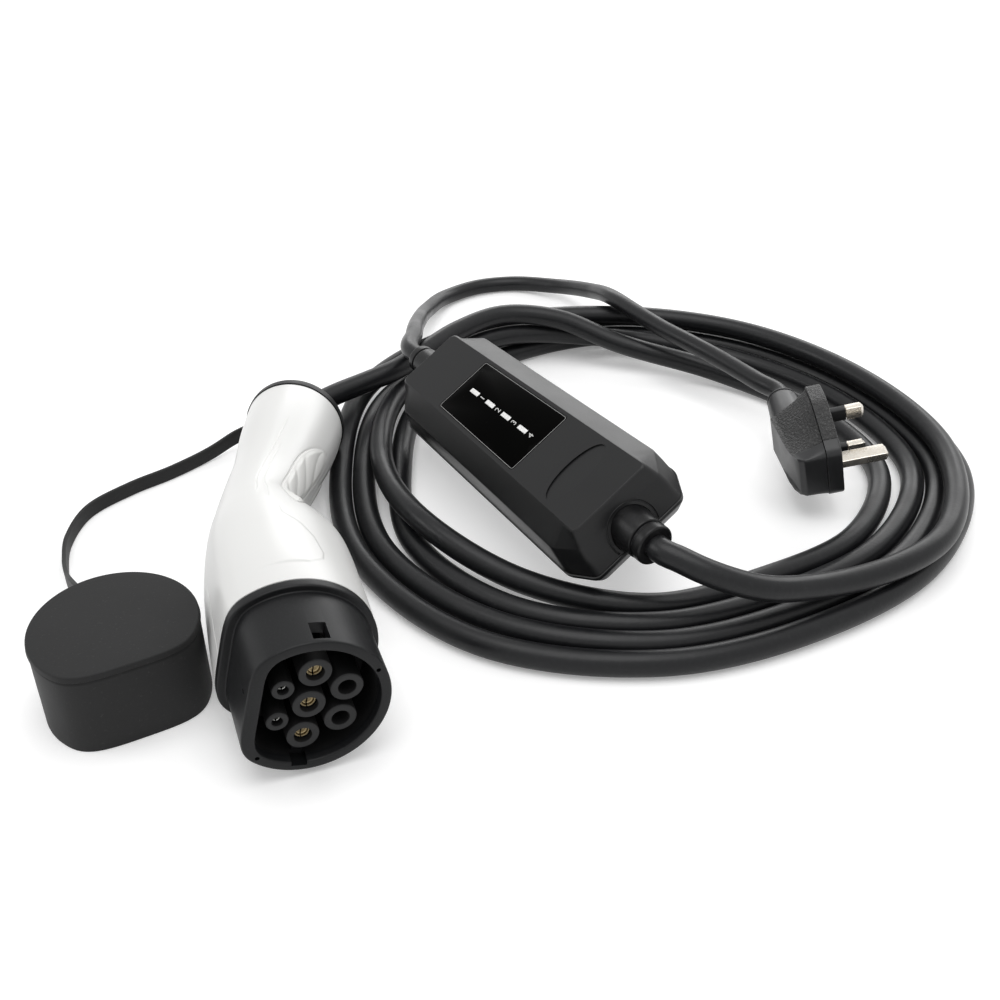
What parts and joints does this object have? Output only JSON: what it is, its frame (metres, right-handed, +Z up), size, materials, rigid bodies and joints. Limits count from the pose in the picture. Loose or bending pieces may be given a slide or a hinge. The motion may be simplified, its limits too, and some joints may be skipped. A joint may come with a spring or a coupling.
{
  "type": "portable ev charger",
  "caption": "Portable charging set: a curved-grip vehicle connector with a D-shaped nose and its cap, an in-line control box, a three-pin mains plug and a coiled black cord.",
  "frame": {"origin": "on the floor under the middle of the connector, cap and control box", "axes": "+Z up, +Y away from the viewer of the picture, +X to that viewer's right"},
  "size_m": [0.4415, 0.4383, 0.0682],
  "materials": {
    "white_shell": "smooth, softly glossy",
    "soft_rubber": "matt",
    "black_plastic": "satin",
    "casing_plastic": "fine satin grain",
    "panel_gloss": "high gloss",
    "window_plastic": "clear white",
    "contact_brass": "plain",
    "pin_nickel": "plated",
    "contact_silver": "plated",
    "board_green": "coated",
    "inner_grey": "plain",
    "screw_steel": "plain",
    "inner_cream": "plain"
  },
  "bodies": {
    "root": {"box_bottom_shell": "casing_plastic", "box_screw_1": "screw_steel", "box_screw_2": "screw_steel", "box_screw_3": "screw_steel", "box_screw_4": "screw_steel", "box_top_cover": "casing_plastic", "cap_body": "soft_rubber", "carrier_retainer": "inner_grey", "circuit_board": "board_green", "contact_carrier": "black_plastic", "contact_earth": "contact_brass", "contact_line": "contact_brass", "contact_neutral": "contact_brass", "contact_pilot": "contact_silver", "contact_proximity": "contact_silver", "current_sensor": "inner_cream", "ev_cable": "soft_rubber", "ev_side_boot": "soft_rubber", "fuse": "inner_cream", "fuse_holder": "casing_plastic", "grip_insert_left": "white_shell", "grip_insert_right": "white_shell", "handle_end_ring": "black_plastic", "handle_gland": "soft_rubber", "handle_left_shell": "white_shell", "handle_right_shell": "white_shell", "handle_screw_1": "screw_steel", "handle_screw_2": "screw_steel", "handle_screw_3": "screw_steel", "label_panel": "panel_gloss", "led_window_1": "window_plastic", "led_window_2": "window_plastic", "led_window_3": "window_plastic", "led_window_4": "window_plastic", "mains_cord": "soft_rubber", "mains_side_boot": "soft_rubber", "nose_barrel": "black_plastic", "pin_earth": "pin_nickel", "pin_live": "pin_nickel", "pin_neutral": "pin_nickel", "plug_base": "casing_plastic", "plug_body": "casing_plastic", "relay_line": "inner_grey", "relay_neutral": "inner_grey", "sleeve_live": "black_plastic", "sleeve_neutral": "black_plastic", "supply_module": "inner_grey", "terminal_block": "inner_cream", "tether_loop": "soft_rubber", "tether_strap": "soft_rubber"}
  },
  "joints": []
}
